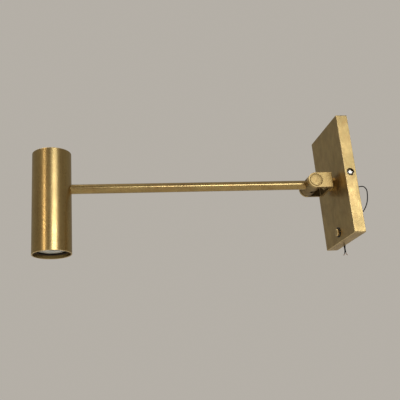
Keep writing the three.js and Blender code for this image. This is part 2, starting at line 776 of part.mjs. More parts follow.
// From the switch up and round inside the cover, then down over the lower rim.
const LINE_ROUTE = [
  [-5.8, -5.0, -53],
  [-9.6, -5.0, -52.4],
  [-15.0, -5.2, -48.6],
  [-19.4, -5.4, -42.4],
  [-24.2, -5.3, -38.2],
  [-29.0, -4.8, -39.8],
  [-31.0, -3.8, -45.6],
  [-29.6, -2.2, -51.8],
  [-26.4, -0.2, -56.2],
  [-23.6, 0.9, -59.2],
  [-21.4, 1.1, -62.4],
  [-20.6, 1.0, -65.6],
  [-20.8, 0.95, -68.8],
  [-22.2, 0.95, -71.0],
];

// The stripped end of a lead: it starts just past the lead's last point and bends on from it.
function strippedTip(points) {
  return sweep(points, TIP_R, 6, 6);
}

add("supply_lead_neutral", sweep(NEUTRAL_ROUTE, LEAD_R, 76), "leadSleeve");
add("switch_lead", sweep(SWITCH_ROUTE, LEAD_R, 34), "leadSleeve");
add("supply_lead_line", sweep(LINE_ROUTE, LEAD_R, 40), "leadSleeve");
add(
  "lead_tip_neutral",
  strippedTip([[-18.65, 0.95, -70.55], [-17.9, 0.95, -72.1], [-16.8, 0.95, -73.3], [-15.4, 0.95, -73.9]]),
  "tinnedCopper",
);
add(
  "lead_tip_line",
  strippedTip([[-22.45, 0.95, -71.2], [-23.6, 0.95, -71.8], [-24.8, 0.95, -71.8], [-25.9, 0.95, -71.2]]),
  "tinnedCopper",
);

export default light;
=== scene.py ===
"""Looks of the wall-mounted picture light: aged brass, steel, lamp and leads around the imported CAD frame."""

import json
import math

import bmesh
import bpy
from mathutils import Matrix, Vector


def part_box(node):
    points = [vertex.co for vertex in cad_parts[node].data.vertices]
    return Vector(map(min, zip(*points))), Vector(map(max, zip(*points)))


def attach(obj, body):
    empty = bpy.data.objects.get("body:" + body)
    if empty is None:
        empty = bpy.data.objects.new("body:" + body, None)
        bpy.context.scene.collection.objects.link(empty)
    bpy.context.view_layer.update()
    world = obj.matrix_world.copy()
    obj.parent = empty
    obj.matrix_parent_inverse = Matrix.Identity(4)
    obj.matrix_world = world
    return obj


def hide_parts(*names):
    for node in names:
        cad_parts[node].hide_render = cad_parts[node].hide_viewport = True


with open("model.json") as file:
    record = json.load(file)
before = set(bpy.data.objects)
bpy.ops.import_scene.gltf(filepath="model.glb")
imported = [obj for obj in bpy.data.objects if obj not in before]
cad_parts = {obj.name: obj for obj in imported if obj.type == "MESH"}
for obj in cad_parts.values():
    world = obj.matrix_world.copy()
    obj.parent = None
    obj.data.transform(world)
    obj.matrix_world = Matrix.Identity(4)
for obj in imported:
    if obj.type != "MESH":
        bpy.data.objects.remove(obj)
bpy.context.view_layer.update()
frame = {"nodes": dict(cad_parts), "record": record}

MM = 0.001
BODY_OF = {
    node: body
    for body, nodes in frame["record"]["behaviour"]["bodies"].items()
    for node in nodes
}

# ---------------------------------------------------------------- camera

CAMERA_PLACE = (0.5704, -0.2626, -0.2046)
CAMERA_TURN = (108.232, 4.377, 80.833)
CAMERA_LENS = 53.85
SENSOR_WIDTH = 36


def make_camera():
    """The viewing angle from the right, a little in front and below."""
    data = bpy.data.cameras.new("camera")
    data.lens = CAMERA_LENS
    data.sensor_width = SENSOR_WIDTH
    data.clip_start = 0.01
    camera = bpy.data.objects.new("camera", data)
    camera.location = CAMERA_PLACE
    camera.rotation_euler = [math.radians(angle) for angle in CAMERA_TURN]
    bpy.context.scene.collection.objects.link(camera)
    bpy.context.scene.camera = camera


make_camera()

# ---------------------------------------------------------------- mesh helpers

AXES = {
    "x": Matrix(((0, 0, 1), (1, 0, 0), (0, 1, 0))),
    "y": Matrix(((0, 1, 0), (0, 0, 1), (1, 0, 0))),
    "z": Matrix(((1, 0, 0), (0, 1, 0), (0, 0, 1))),
}
SHARP = math.radians(32)


def new_object(name, bm):
    """A mesh object from a bmesh, with its normals facing out."""
    bmesh.ops.remove_doubles(bm, verts=bm.verts, dist=1e-7)
    bmesh.ops.recalc_face_normals(bm, faces=bm.faces)
    mesh = bpy.data.meshes.new(name)
    bm.to_mesh(mesh)
    bm.free()
    obj = bpy.data.objects.new(name, mesh)
    bpy.context.scene.collection.objects.link(obj)
    return obj


def rounded(points, steps=5):
    """Corner rounding for an outline in a plane: points are (u, v) or (u, v, radius of that corner)."""
    result = []
    for i, point in enumerate(points):
        here = Vector(point[:2])
        radius = point[2] if len(point) > 2 else 0
        if radius <= 0:
            result.append(here)
            continue
        before = (Vector(points[i - 1][:2]) - here).normalized()
        after = (Vector(points[(i + 1) % len(points)][:2]) - here).normalized()
        half = before.angle(after) / 2
        run = radius / math.tan(half)
        centre = here + (before + after).normalized() * (radius / math.sin(half))
        start = here + before * run - centre
        end = here + after * run - centre
        sweep = start.angle_signed(end)
        for k in range(steps + 1):
            angle = sweep * k / steps
            spoke = Matrix.Rotation(-angle, 2) @ start
            result.append(centre + spoke)
    return result


def lathe(name, axis, profile, centre=(0, 0, 0), segments=96, steps=5):
    """A turned piece. profile is a closed outline of (radius, distance along the axis, corner radius)."""
    turn = AXES[axis]
    middle = Vector(centre)
    bm = bmesh.new()
    outline = rounded(profile, steps)
    rings = []
    for radius, along in outline:
        if radius < 1e-9:
            rings.append([bm.verts.new(turn @ Vector((0, 0, along)) + middle)])
            continue
        ring = []
        for k in range(segments):
            angle = 2 * math.pi * k / segments
            spoke = Vector((radius * math.cos(angle), radius * math.sin(angle), along))
            ring.append(bm.verts.new(turn @ spoke + middle))
        rings.append(ring)
    for low, high in zip(rings, rings[1:] + rings[:1]):
        if len(low) == 1 and len(high) == 1:
            continue
        for k in range(segments):
            n = (k + 1) % segments
            corners = [low[k % len(low)], low[n % len(low)], high[n % len(high)], high[k % len(high)]]
            bm.faces.new(list(dict.fromkeys(corners)))
    return new_object(name, bm)


def bored(outer, inner, low, high, edge, bore_edge=None):
    """The profile of a tube or washer, with rounded rims."""
    bore_edge = edge if bore_edge is None else bore_edge
    return [
        (inner, low, bore_edge),
        (outer, low, edge),
        (outer, high, edge),
        (inner, high, bore_edge),
    ]


def inset(ring, distance):
    """A closed outline moved inwards by a distance; the outline runs anticlockwise."""
    result = []
    count = len(ring)
    for i, here in enumerate(ring):
        before = (here - ring[i - 1]).normalized()
        after = (ring[(i + 1) % count] - here).normalized()
        normals = [Vector((-d.y, d.x)) for d in (before, after)]
        mitre = (normals[0] + normals[1]).normalized()
        result.append(here + mitre * (distance / max(0.3, mitre.dot(normals[0]))))
    return result


def stack(name, place, levels):
    """Joins closed outlines, one above the other, into a solid with flat ends.
    place turns (u, v, w) into a point; levels are (outline, w)."""
    bm = bmesh.new()
    rings = [[bm.verts.new(place(p.x, p.y, w)) for p in outline] for outline, w in levels]
    for low, high in zip(rings, rings[1:]):
        for k in range(len(low)):
            n = (k + 1) % len(low)
            bm.faces.new([low[k], low[n], high[n], high[k]])
    bm.faces.new(rings[0][::-1])
    bm.faces.new(rings[-1])
    return new_object(name, bm)


def edge_levels(outline, low, high, edge, steps=4):
    """Levels for stack(): a prism from low to high whose end edges are rounded."""
    levels = []
    for k in range(steps + 1):
        angle = math.pi / 2 * k / steps
        levels.append((inset(outline, edge * (1 - math.sin(angle))), low + edge * (1 - math.cos(angle))))
    for k in range(steps, -1, -1):
        angle = math.pi / 2 * k / steps
        levels.append((inset(outline, edge * (1 - math.sin(angle))), high - edge * (1 - math.cos(angle))))
    return levels


def along_x(u, v, w):
    return Vector((w, u, v))


def along_y(u, v, w):
    return Vector((u, w, v))


def along_z(u, v, w):
    return Vector((u, v, w))


def rectangle(u0, u1, v0, v1, radius=0.0, steps=6):
    """An anticlockwise rectangle with round corners."""
    corners = [(u0, v0, radius), (u1, v0, radius), (u1, v1, radius), (u0, v1, radius)]
    return rounded(corners, steps)


def combine(target, tool, operation="DIFFERENCE"):
    """Cuts, joins or intersects target with tool, which is then removed."""
    modifier = target.modifiers.new("combine", "BOOLEAN")
    modifier.operation = operation
    modifier.solver = "EXACT"
    modifier.object = tool
    graph = bpy.context.evaluated_depsgraph_get()
    mesh = bpy.data.meshes.new_from_object(target.evaluated_get(graph))
    target.modifiers.clear()
    old = target.data
    target.data = mesh
    bpy.data.meshes.remove(old)
    bpy.data.objects.remove(tool)
    return target


def hole_cutter(axis, radius, low, high, centre, low_flare=0.0, high_flare=0.0, segments=64):
    """A round cutter for a hole whose mouths at low and high are broken by a small flare."""
    past = 2 * MM
    profile = [(0, low - past)]
    if low_flare:
        profile += [(radius + low_flare + past, low - past), (radius + low_flare, low)]
        profile += [(radius, low + low_flare)]
    else:
        profile += [(radius, low - past)]
    if high_flare:
        profile += [(radius, high - high_flare), (radius + high_flare, high)]
        profile += [(radius + high_flare + past, high + past)]
    else:
        profile += [(radius, high + past)]
    profile.append((0, high + past))
    return lathe("cutter", axis, profile, centre, segments)


EDGE_WIDTH = 0.9 * MM


def finish_mesh(obj, in_shade=None):
    """Smooth shading with sharp corners, and two face attributes: edge marks narrow edge faces for wear,
    the other holds painted shade, what in_shade gives from 0 to 1 for the centre of a face, such as the wall
    of a recess."""
    mesh = obj.data
    bm = bmesh.new()
    bm.from_mesh(mesh)
    bmesh.ops.remove_doubles(bm, verts=bm.verts, dist=1e-7)
    bmesh.ops.dissolve_degenerate(bm, edges=bm.edges, dist=1e-7)
    layer = bm.faces.layers.float.new("edge")
    # painted shade, from 0 to 1 per face, as in_shade gives it
    painted_shade = bm.faces.layers.float.new("painted_shade")
    for face in bm.faces:
        face.smooth = True
        longest = max(e.calc_length() for e in face.edges)
        narrow = face.calc_area() < EDGE_WIDTH * longest
        bends = [e.calc_face_angle(0) for e in face.edges if len(e.link_faces) == 2]
        turned_over = any(math.radians(9) < bend < math.radians(50) for bend in bends)
        face[layer] = 1.0 if narrow and turned_over else 0.0
        face[painted_shade] = in_shade(face.calc_center_median()) if in_shade else 0.0
    for edge in bm.edges:
        edge.smooth = not (len(edge.link_faces) == 2 and edge.calc_face_angle(0) > SHARP)
    bm.to_mesh(mesh)
    bm.free()
    weighted = obj.modifiers.new("weighted", "WEIGHTED_NORMAL")
    weighted.keep_sharp = True
    graph = bpy.context.evaluated_depsgraph_get()
    shaded = bpy.data.meshes.new_from_object(obj.evaluated_get(graph))
    obj.modifiers.clear()
    obj.data = shaded
    bpy.data.meshes.remove(mesh)


def stand_for(obj, node, material, in_shade=None):
    """obj takes the place of a CAD node: its body and a better material."""
    finish_mesh(obj, in_shade)
    obj.name = node + "_fine"
    obj.data.materials.clear()
    obj.data.materials.append(material)
    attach(obj, BODY_OF[node])
    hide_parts(node)
    return obj


def span(node):
    """Low corner, high corner and centre of a CAD node."""
    low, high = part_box(node)
    return low, high, (low + high) / 2


# ---------------------------------------------------------------- material helpers


class Nodes:
    """A short way to write a material's node tree."""

    def __init__(self, name):
        self.material = bpy.data.materials.new(name)
        self.material.use_nodes = True
        self.tree = self.material.node_tree
        self.shader = self.tree.nodes["Principled BSDF"]
        self.coordinates = self.add("ShaderNodeTexCoord").outputs["Object"]

    def add(self, kind, **settings):
        node = self.tree.nodes.new(kind)
        for key, value in settings.items():
            setattr(node, key, value)
        return node

    def link(self, output, target):
        self.tree.links.new(output, target)

    def stretched(self, scale, turn=(0, 0, 0)):
        """Object coordinates scaled by a different number along each axis."""
        mapping = self.add("ShaderNodeMapping")
        mapping.inputs["Scale"].default_value = scale
        mapping.inputs["Rotation"].default_value = turn
        self.link(self.coordinates, mapping.inputs["Vector"])
        return mapping.outputs["Vector"]

    def noise(self, vector, scale, detail=4.0, roughness=0.55, distortion=0.0):
        """Noise from 0 to 1 over a coordinate."""
        node = self.add("ShaderNodeTexNoise")
        node.inputs["Scale"].default_value = scale
        node.inputs["Detail"].default_value = detail
        node.inputs["Roughness"].default_value = roughness
        node.inputs["Distortion"].default_value = distortion
        self.link(vector, node.inputs["Vector"])
        return node.outputs["Fac"]

    def ramp(self, value, stops):
        """A colour ramp; stops are (place, colour or number)."""
        node = self.add("ShaderNodeValToRGB")
        elements = node.color_ramp.elements
        while len(elements) < len(stops):
            elements.new(0.5)
        for element, (place, colour) in zip(elements, stops):
            element.position = place
            if isinstance(colour, (int, float)):
                colour = (colour, colour, colour)
            element.color = (*colour, 1)
        self.link(value, node.inputs["Fac"])
        return node.outputs["Color"]

    def math(self, operation, a, b):
        node = self.add("ShaderNodeMath", operation=operation)
        for socket, value in zip(node.inputs, (a, b)):
            if isinstance(value, (int, float)):
                socket.default_value = value
            else:
                self.link(value, socket)
        return node.outputs["Value"]

    def mix(self, factor, a, b):
        """Mixes two colours."""
        node = self.add("ShaderNodeMix", data_type="RGBA")
        for socket, value in ((node.inputs[0], factor), (node.inputs[6], a), (node.inputs[7], b)):
            if isinstance(value, (int, float)):
                socket.default_value = value
            elif isinstance(value, tuple):
                socket.default_value = (*value, 1)
            else:
                self.link(value, socket)
        return node.outputs[2]

    def bump(self, height, distance, strength=1.0, over=None):
        """A bump over an earlier one."""
        node = self.add("ShaderNodeBump")
        node.inputs["Strength"].default_value = strength
        node.inputs["Distance"].default_value = distance
        self.link(height, node.inputs["Height"])
        if over is not None:
            self.link(over, node.inputs["Normal"])
        return node.outputs["Normal"]

    def edges(self):
        """1 on the narrow faces of rounded edges."""
        return self.add("ShaderNodeAttribute", attribute_name="edge").outputs["Fac"]

    def painted_shade(self):
        """Painted shade, from 0 to 1: 1 on the walls of recesses, less between parts."""
        return self.add("ShaderNodeAttribute", attribute_name="painted_shade").outputs["Fac"]

    def set(self, **values):
        """Sets shader sockets: a number, a colour or a link each."""
        for key, value in values.items():
            socket = self.shader.inputs[key.replace("_", " ")]
            if isinstance(value, tuple):
                socket.default_value = (*value, 1) if len(value) == 3 else value
            elif isinstance(value, (int, float)):
                socket.default_value = value
            else:
                self.link(value, socket)


# ---------------------------------------------------------------- materials

HONEY = (0.60, 0.435, 0.18)
OLIVE = (0.37, 0.29, 0.115)
RUSSET = (0.42, 0.235, 0.085)
BRIGHT = (0.80, 0.62, 0.32)
# near black, painted as shade on recess walls and shaded parts
PAINTED_SHADE = (0.060, 0.044, 0.028)
BROWN = (0.24, 0.155, 0.068)


def aged_brass(name, grain, patina=0.5, rough=0.27, relief=1.0):
    """Satin unlacquered brass. grain is how fast the brushing varies along X, Y and Z, per metre;
    patina is how much the olive and reddish tarnish shows; relief scales the unevenness."""
    n = Nodes(name)
    patches = n.noise(n.stretched((1, 1, 1)), 38, 5, 0.6, 0.8)
    stains = n.noise(n.stretched((1.7, 1.7, 1)), 95, 6, 0.65, 1.4)
    brushing = n.noise(n.stretched(grain), 1.0, 3, 0.7)
    olive = n.math("MULTIPLY", n.ramp(patches, [(0.32, 0.0), (0.78, 1.0)]), patina)
    russet = n.math("MULTIPLY", n.ramp(stains, [(0.46, 0.0), (0.82, 1.0)]), patina)
    colour = n.mix(olive, HONEY, OLIVE)
    colour = n.mix(russet, colour, RUSSET)
    drift = n.noise(n.stretched(tuple(min(rate, 110) for rate in grain)), 1.0, 3, 0.6)
    colour = n.mix(n.math("MULTIPLY", n.ramp(drift, [(0.28, 0.0), (0.78, 1.0)]), 0.8 * patina), colour, BROWN)
    streak = n.math("MULTIPLY", n.ramp(brushing, [(0.30, 0.0), (0.80, 1.0)]), 0.10)
    colour = n.mix(streak, colour, BRIGHT)
    wear = n.math("MULTIPLY", n.edges(), n.ramp(stains, [(0.25, 0.4), (0.6, 1.0)]))
    colour = n.mix(wear, colour, BRIGHT)
    # painted shade: darker towards near black where the face attribute from in_shade is set
    colour = n.mix(n.painted_shade(), colour, PAINTED_SHADE)
    dull = n.math("MULTIPLY", patches, 0.16)
    lines = n.math("MULTIPLY", brushing, 0.14)
    roughness = n.math("ADD", n.math("ADD", dull, lines), rough - 0.14)
    pits = n.noise(n.stretched((1, 1, 1)), 1100, 3, 0.6)
    roughness = n.math("ADD", roughness, n.math("MULTIPLY", n.ramp(pits, [(0.42, 0.0), (0.64, 1.0)]), 0.09))
    normal = n.bump(brushing, 0.012 * MM, 0.55 * relief)
    normal = n.bump(patches, 0.10 * MM, 0.25 * relief, normal)
    normal = n.bump(pits, 0.006 * MM, 0.4, normal)
    n.set(Base_Color=colour, Metallic=1.0, Roughness=roughness, Normal=normal)
    return n.material


def plated_steel(name, tone, rough, grain=(900, 900, 60)):
    """Zinc or nickel plating with a faint rolled grain and cloudy patches."""
    n = Nodes(name)
    clouds = n.noise(n.stretched((1, 1, 1)), 120, 5, 0.6, 0.5)
    rolling = n.noise(n.stretched(grain), 1.0, 3, 0.6)
    dark = tuple(c * 0.62 for c in tone)
    colour = n.mix(n.ramp(clouds, [(0.35, 0.0), (0.75, 1.0)]), tone, dark)
    worn = tuple(min(1, c * 1.25) for c in tone)
    colour = n.mix(n.math("MULTIPLY", n.edges(), 0.8), colour, worn)
    roughness = n.math("ADD", n.math("MULTIPLY", clouds, 0.22), rough - 0.1)
    normal = n.bump(rolling, 0.01 * MM, 0.5)
    n.set(Base_Color=colour, Metallic=1.0, Roughness=roughness, Normal=normal)
    return n.material


def moulding(name, tone, rough, grain_size=2600, depth=0.02 * MM):
    """Plain moulded or pressed stuff with a fine grain, slightly dusty."""
    n = Nodes(name)
    fine = n.noise(n.stretched((1, 1, 1)), grain_size, 3, 0.6)
    dust = n.noise(n.stretched((1, 1, 1)), 160, 5, 0.7, 0.6)
    pale = tuple(min(1, c * 1.5 + 0.02) for c in tone)
    colour = n.mix(n.math("MULTIPLY", n.ramp(dust, [(0.45, 0.0), (0.8, 1.0)]), 0.6), tone, pale)
    roughness = n.math("ADD", n.math("MULTIPLY", dust, 0.2), rough - 0.1)
    n.set(Base_Color=colour, Roughness=roughness, Normal=n.bump(fine, depth, 0.5))
    return n.material


def clear_lens(name):
    """A clear moulded lens with a faint orange-peel surface."""
    n = Nodes(name)
    ripple = n.noise(n.stretched((1, 1, 1)), 420, 2, 0.5)
    haze = n.noise(n.stretched((1, 1, 1)), 900, 4, 0.6)
    roughness = n.math("ADD", n.math("MULTIPLY", haze, 0.10), 0.06)
    n.set(Base_Color=(0.93, 0.96, 0.95), Roughness=roughness, Normal=n.bump(ripple, 0.06 * MM, 0.5))
    n.shader.inputs["Transmission Weight"].default_value = 0.85
    n.shader.inputs["IOR"].default_value = 1.49
    return n.material


def insulation(name):
    """Thin dark lead insulation, dull and slightly uneven."""
    n = Nodes(name)
    wobble = n.noise(n.stretched((1, 1, 1)), 700, 3, 0.5)
    colour = n.ramp(wobble, [(0.3, (0.006, 0.005, 0.005)), (0.8, (0.016, 0.013, 0.012))])
    roughness = n.math("ADD", n.math("MULTIPLY", wobble, 0.2), 0.5)
    n.set(Base_Color=colour, Roughness=roughness, Normal=n.bump(wobble, 0.03 * MM, 0.4))
    n.shader.inputs["Specular IOR Level"].default_value = 0.3
    return n.material


BRASS_HEAD = aged_brass("brass_drawn_head", (520, 520, 14), patina=0.45, rough=0.27, relief=0.35)
BRASS_ARM = aged_brass("brass_drawn_arm", (900, 22, 900), patina=0.9, rough=0.22, relief=0.5)
BRASS_PLATE = aged_brass("brass_milled_plate", (620, 620, 60), patina=0.7, rough=0.32, relief=0.3)
BRASS_BLOCK = aged_brass("brass_milled_block", (1500, 400, 1500), patina=0.3, rough=0.43, relief=0.6)
BRASS_BARREL = aged_brass("brass_turned_barrel", (60, 900, 900), patina=1.0, rough=0.40, relief=0.6)
BRASS_TURNED = aged_brass("brass_turned_small", (700, 700, 700), patina=0.7, rough=0.42, relief=0.5)
BRASS_BUTTON = aged_brass("brass_rubbed_button", (500, 500, 500), patina=0.1, rough=0.24, relief=0.4)
BRASS_RAW = aged_brass("brass_raw", (700, 2600, 700), patina=0.9, rough=0.42)
ZINC = plated_steel("zinc_plated_steel", (0.56, 0.56, 0.53), 0.36)
NICKEL = plated_steel("nickel_plated_steel", (0.70, 0.69, 0.65), 0.26, (1800, 1800, 1800))
DARK_STEEL = plated_steel("blackened_steel", (0.07, 0.055, 0.045), 0.42)
LAMP_METAL = plated_steel("cast_lamp_metal", (0.36, 0.36, 0.35), 0.45, (1200, 1200, 1200))
MIRROR = plated_steel("reflector_metal", (0.86, 0.86, 0.85), 0.14, (400, 400, 400))
BLACK = moulding("black_moulding", (0.014, 0.013, 0.012), 0.45)
FIBRE = moulding("red_fibre", (0.20, 0.045, 0.025), 0.75)
CERAMIC = moulding("steatite", (0.76, 0.73, 0.66), 0.6, 1800, 0.03 * MM)
BOARD = moulding("white_solder_mask", (0.78, 0.78, 0.74), 0.4)
PHOSPHOR = moulding("phosphor", (0.72, 0.50, 0.08), 0.5)
COPPER = plated_steel("stripped_copper", (0.50, 0.30, 0.19), 0.35, (3000, 3000, 3000))
LENS = clear_lens("lamp_lens_clear")
INSULATION = insulation("lead_insulation")

# ---------------------------------------------------------------- leads

LEAD_R = 0.55 * MM
LEAD_OFFSET = 0.75 * MM
LEAD_START_Y = -5.7 * MM
BEND_R = 2.6 * MM


def turn_down(x):
    """The quarter turn with which both leads leave the nipple, from +Y down to -Z."""
    points = []
    for degrees in (0, 30, 60, 90):
        angle = math.radians(degrees)
        points.append((x, LEAD_START_Y + BEND_R * math.sin(angle), -BEND_R * (1 - math.cos(angle))))
    return points


def in_metres(points):
    return [tuple(value * MM for value in point) for point in points]


NEUTRAL_ROUTE = turn_down(LEAD_OFFSET) + in_metres(
    [
        (0.9, -2.9, -5.2),
        (1.5, -2.0, -8.4),
        (2.8, 0.6, -10.7),
        (5.0, 5.0, -10.9),
        (7.6, 10.4, -8.3),
        (9.3, 15.2, -6.2),
        (10.1, 19.3, -6.6),
        (10.4, 21.8, -9.8),
        (10.3, 22.0, -15.4),
        (10.0, 20.2, -24.2),
        (9.4, 15.8, -32.2),
        (7.4, 9.6, -38.6),
        (3.4, 4.6, -44.6),
        (-3.0, 2.2, -51.0),
        (-10.0, 1.4, -56.6),
        (-15.6, 1.15, -60.4),
        (-18.6, 1.0, -63.6),
        (-19.3, 0.95, -67.2),
        (-18.8, 0.95, -70.2),
    ]
)
SWITCH_ROUTE = turn_down(-LEAD_OFFSET) + in_metres(
    [
        (-1.3, -3.0, -6),
        (-0.9, -3.6, -10.5),
        (2.4, -4.6, -16),
        (7.4, -5.2, -22),
        (11.8, -5.5, -30),
        (13.4, -5.5, -39),
        (12.2, -5.3, -47),
        (9.6, -5.0, -51.8),
        (5.8, -5.0, -53),
    ]
)
LINE_ROUTE = in_metres(
    [
        (-5.8, -5.0, -53),
        (-9.6, -5.0, -52.4),
        (-15.0, -5.2, -48.6),
        (-19.4, -5.4, -42.4),
        (-24.2, -5.3, -38.2),
        (-29.0, -4.8, -39.8),
        (-31.0, -3.8, -45.6),
        (-29.6, -2.2, -51.8),
        (-26.4, -0.2, -56.2),
        (-23.6, 0.9, -59.2),
        (-21.4, 1.1, -62.4),
        (-20.6, 1.0, -65.6),
        (-20.8, 0.95, -68.8),
        (-22.2, 0.95, -71.0),
    ]
)
NEUTRAL_TIP = in_metres(
    [(-18.65, 0.95, -70.55), (-17.9, 0.95, -72.1), (-16.8, 0.95, -73.3), (-15.4, 0.95, -73.9)]
)
LINE_TIP = in_metres(
    [(-22.45, 0.95, -71.2), (-23.6, 0.95, -71.8), (-24.8, 0.95, -71.8), (-25.9, 0.95, -71.2)]
)


def smooth_route(points, per_span=8):
    """A centripetal Catmull-Rom curve through the points, as a dense list of points."""
    route = [Vector(p) for p in points]
    route = [route[0] * 2 - route[1], *route, route[-1] * 2 - route[-2]]
    result = []
    for a, b, c, d in zip(route, route[1:], route[2:], route[3:]):
        times = [0.0]
        for start, end in ((a, b), (b, c), (c, d)):
            times.append(times[-1] + math.sqrt((end - start).length))
        t0, t1, t2, t3 = times
        for k in range(per_span):
            t = t1 + (t2 - t1) * k / per_span
            ab = a.lerp(b, (t - t0) / (t1 - t0))
            bc = b.lerp(c, (t - t1) / (t2 - t1))
            cd = c.lerp(d, (t - t2) / (t3 - t2))
            abc = ab.lerp(bc, (t - t0) / (t2 - t0))
            bcd = bc.lerp(cd, (t - t1) / (t3 - t1))
            result.append(abc.lerp(bcd, (t - t1) / (t2 - t1)))
    result.append(route[-2])
    return result


def frames_along(line):
    """Turning-free side vectors for a sweep along a line of points."""
    heading = (line[1] - line[0]).normalized()
    side = heading.orthogonal().normalized()
    sides = []
    for i in range(len(line)):
        before = line[max(i - 1, 0)]
        after = line[min(i + 1, len(line) - 1)]
        heading = (after - before).normalized()
        side = (side - heading * side.dot(heading)).normalized()
        sides.append((side.copy(), heading.cross(side)))
    return sides


def tube(name, line, radius, sides=16, end_round=0.3):
    """A round tube along a line, with slightly rounded closed ends."""
    bm = bmesh.new()
    sides_along = frames_along(line)
    rings = []

    def add_ring(centre, across, size):
        ring = []
        for k in range(sides):
            angle = 2 * math.pi * k / sides
            offset = across[0] * math.cos(angle) + across[1] * math.sin(angle)
            ring.append(bm.verts.new(centre + offset * size))
        rings.append(ring)

    start = (line[1] - line[0]).normalized()
    finish = (line[-1] - line[-2]).normalized()
    add_ring(line[0], sides_along[0], radius * (1 - end_round))
    add_ring(line[0] + start * radius * end_round, sides_along[0], radius)
    for centre, across in list(zip(line, sides_along))[1:-1]:
        add_ring(centre, across, radius)
    add_ring(line[-1] - finish * radius * end_round, sides_along[-1], radius)
    add_ring(line[-1], sides_along[-1], radius * (1 - end_round))
    for low, high in zip(rings, rings[1:]):
        for k in range(sides):
            n = (k + 1) % sides
            bm.faces.new([low[k], low[n], high[n], high[k]])
    bm.faces.new(rings[0][::-1])
    bm.faces.new(rings[-1])
    return new_object(name, bm)


STRAND_COUNT = 6
STRAND_R = 0.105 * MM


def stripped_end(node, points):
    """Twisted bare strands round a middle strand."""
    line = smooth_route(points, 10)
    across = frames_along(line)
    strands = [tube("strand", line, STRAND_R, 8)]
    for s in range(STRAND_COUNT):
        path = []
        for i, centre in enumerate(line):
            angle = 2 * math.pi * (s / STRAND_COUNT + 1.1 * i / len(line))
            offset = across[i][0] * math.cos(angle) + across[i][1] * math.sin(angle)
            path.append(centre + offset * (2.1 * STRAND_R))
        strands.append(tube("strand", path, STRAND_R, 8))
    joined = bmesh.new()
    for strand in strands:
        joined.from_mesh(strand.data)
        bpy.data.objects.remove(strand)
    mesh = bpy.data.meshes.new(node)
    joined.to_mesh(mesh)
    joined.free()
    obj = bpy.data.objects.new(node + "_bundle", mesh)
    bpy.context.scene.collection.objects.link(obj)
    return stand_for(obj, node, COPPER)


def supply_lead(node, points):
    """A free lead of its real length."""
    lead = tube(node + "_line", smooth_route(points), LEAD_R)
    stand_for(lead, node, INSULATION)


neutral_tip = stripped_end("lead_tip_neutral", NEUTRAL_TIP)
line_tip = stripped_end("lead_tip_line", LINE_TIP)
supply_lead("supply_lead_neutral", NEUTRAL_ROUTE)
supply_lead("supply_lead_line", LINE_ROUTE)
supply_lead("switch_lead", SWITCH_ROUTE)

# ---------------------------------------------------------------- backplate cover

plate_low, plate_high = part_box("backplate_cover")
PLATE_WALL = 3.2 * MM
PLATE_FRONT_T = 2.0 * MM
PLATE_CORNER = 1.2 * MM
PLATE_EDGE = 0.45 * MM
POCKET_CORNER = 2 * MM
SCREW_Y = (plate_low.y + plate_high.y) / 2
COUNTERBORE_R = 3.8 * MM
COUNTERBORE_D = 2.0 * MM
BUTTON_HOLE_R = 5.0 * MM
NECK_HOLE_R = 5.1 * MM


def make_cover():
    """The front with its broken edges, the hollow back, and the holes for neck, button and side screws."""
    sides = (plate_low.x, plate_high.x, plate_low.z, plate_high.z)
    outline = rectangle(*sides, PLATE_CORNER, 8)
    pocket = inset(rectangle(*sides, POCKET_CORNER + PLATE_WALL, 8), PLATE_WALL)
    back_edge = 0.25 * MM
    floor_y = plate_low.y + PLATE_FRONT_T
    levels = []
    steps = 6
    for k in range(steps + 1):
        angle = math.pi / 2 * k / steps
        shrink = PLATE_EDGE * (1 - math.sin(angle))
        levels.append((inset(outline, shrink), plate_low.y + PLATE_EDGE * (1 - math.cos(angle))))
    levels.append((outline, plate_high.y - back_edge))
    levels.append((inset(outline, back_edge), plate_high.y))
    levels.append((inset(pocket, -back_edge), plate_high.y))
    levels.append((pocket, plate_high.y - back_edge))
    levels.append((pocket, floor_y + 0.8 * MM))
    levels.append((inset(pocket, 0.3 * MM), floor_y + 0.2 * MM))
    levels.append((inset(pocket, 0.8 * MM), floor_y))
    cover = stack("cover", along_y, levels)
    combine(cover, hole_cutter("y", NECK_HOLE_R, plate_low.y, floor_y, (0, 0, 0), 0.3 * MM, 0.2 * MM))
    button = span("button_cap")[2]
    combine(cover, hole_cutter("y", BUTTON_HOLE_R, plate_low.y, floor_y, (button.x, 0, button.z), 0.25 * MM))
    for side in (-1, 1):
        outer = side * plate_high.x
        step = side * (plate_high.x - COUNTERBORE_D)
        combine(cover, counterbore_cutter(outer, step, side))
    return stand_for(cover, "backplate_cover", BRASS_PLATE, in_counterbore)


def in_counterbore(point):
    """Painted shade: 1 on the walls and floor of the two screw recesses."""
    from_axis = math.hypot(point.y - SCREW_Y, point.z)
    deep = plate_high.x - abs(point.x)
    inside = from_axis < COUNTERBORE_R + 0.02 * MM and 0.3 * MM < deep < COUNTERBORE_D + 0.05 * MM
    return 1.0 if inside else 0.0


def counterbore_cutter(outer, step, side):
    """Cuts a flat-bottomed recess with a broken rim, and a through hole for the screw."""
    flare = 0.25 * MM
    past = 2 * MM
    shank = 1.8 * MM
    inside = outer - side * (PLATE_WALL + past)
    profile = [
        (0, inside),
        (shank, inside),
        (shank, step),
        (COUNTERBORE_R, step),
        (COUNTERBORE_R, outer - side * flare),
        (COUNTERBORE_R + flare, outer),
        (COUNTERBORE_R + flare + past, outer + side * past),
        (0, outer + side * past),
    ]
    return lathe("cutter", "x", profile, (0, SCREW_Y, 0), 64)


make_cover()

# ---------------------------------------------------------------- screws


